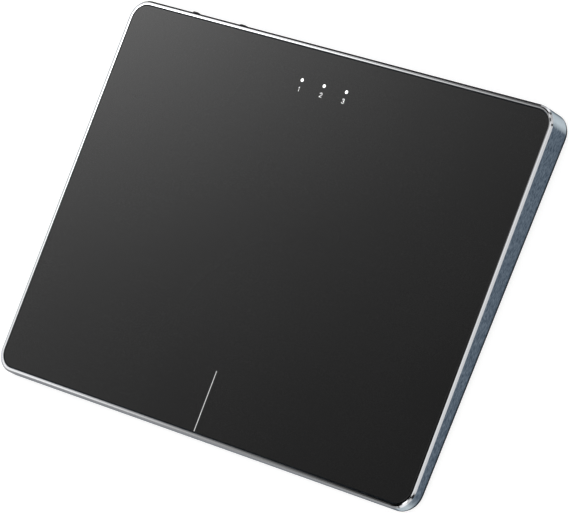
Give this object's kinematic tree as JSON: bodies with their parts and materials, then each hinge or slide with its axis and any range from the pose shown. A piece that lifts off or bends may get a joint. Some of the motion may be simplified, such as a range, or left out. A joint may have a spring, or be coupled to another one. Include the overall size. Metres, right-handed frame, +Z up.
{
  "type": "trackpad",
  "caption": "Thin wedge-shaped desk trackpad: tipping black glass top in an aluminium frame, with three numbered lights, a slide switch, a button and a socket at the back.",
  "frame": {"origin": "on the desk, under the middle of the frame", "axes": "+X to the user's right, +Y away from the user, towards the high back wall, +Z up"},
  "size_m": [0.16, 0.1188, 0.0098],
  "materials": {
    "frame_aluminium": "dark anodised, brushed walls, bare polished bevelled rim",
    "glass_black": "etched satin glass with a black printed back",
    "cover_black": "fine moulded texture",
    "foot_rubber": "matt",
    "screw_steel": "plain",
    "spring_steel": "rolled strip",
    "plate_steel": "stamped sheet",
    "can_steel": "tinned sheet",
    "usb_steel": "deep drawn",
    "cell_foil": "laminated pouch foil",
    "adhesive": "double-sided film",
    "board_green": "solder mask",
    "board_dark": "solder mask",
    "chip_black": "moulded",
    "antenna_ceramic": "fired ceramic",
    "connector_white": "moulded",
    "connector_black": "moulded",
    "control_black": "fine moulded texture",
    "wire_red": "insulated wire",
    "flex_amber": "polyimide film",
    "light_white": "clear light guide, lit",
    "led_white": "lens"
  },
  "bodies": {
    "base": {"frame": "frame_aluminium", "base_cover": "cover_black", "base_screws": "screw_steel", "foot_front_left": "foot_rubber", "foot_front_right": "foot_rubber", "foot_back_left": "foot_rubber", "foot_back_right": "foot_rubber", "battery_cell": "cell_foil", "battery_tape": "adhesive", "battery_protection_board": "board_dark", "battery_leads": "wire_red", "battery_plug": "connector_white", "battery_socket": "connector_white", "main_board": "board_green", "board_screws": "screw_steel", "shield_can": "can_steel", "wireless_chip": "chip_black", "charger_chip": "chip_black", "chip_antenna": "antenna_ceramic", "flex_socket": "connector_white", "touch_flex": "flex_amber", "usb_shell": "usb_steel", "usb_tongue": "connector_black", "power_switch_body": "can_steel", "pair_switch_body": "connector_black", "click_adjust_screw": "screw_steel", "stop_pads": "foot_rubber", "hinge_spring_left": "spring_steel", "hinge_spring_right": "spring_steel", "hinge_screws": "screw_steel"},
    "click_plate": {"glass_panel": "glass_black", "glass_adhesive": "adhesive", "touch_board": "board_dark", "plate_adhesive": "adhesive", "stiffener_plate": "plate_steel", "indicator_diffusers": "light_white", "indicator_leds": "led_white", "touch_controller": "chip_black", "touch_socket": "connector_white", "click_switch_body": "can_steel", "hinge_rivets": "screw_steel"},
    "click_plunger": {"click_plunger": "connector_black"},
    "power_slider": {"power_slider": "control_black"},
    "pair_button": {"pair_button": "control_black", "pair_switch_plunger": "connector_black"}
  },
  "joints": [
    {"name": "click_hinge", "type": "hinge", "parent": "base", "child": "click_plate", "pos_m": [0, 0.04893, 0.00741], "axis": [1, 0, 0], "range_deg": [0, 0.181], "stiffness_Nm_per_rad": 12, "springref_deg": -0.43, "deforming": ["hinge_spring_left", "hinge_spring_right", "touch_flex"]},
    {"name": "click_press", "type": "slide", "parent": "click_plate", "child": "click_plunger", "axis": [0, -0.0386, 0.9993], "range_m": [0, 0.0003]},
    {"name": "power_slide", "type": "slide", "parent": "base", "child": "power_slider", "axis": [1, 0, 0], "range_m": [0, 0.002]},
    {"name": "pair_press", "type": "slide", "parent": "base", "child": "pair_button", "axis": [0, -1, 0], "range_m": [0, 0.00025], "stiffness_N_per_m": 800, "springref_m": -0.0006}
  ],
  "couplings": [
    {"joint": "click_press", "follows": "click_hinge", "m_per_rad": 0.094638}
  ]
}
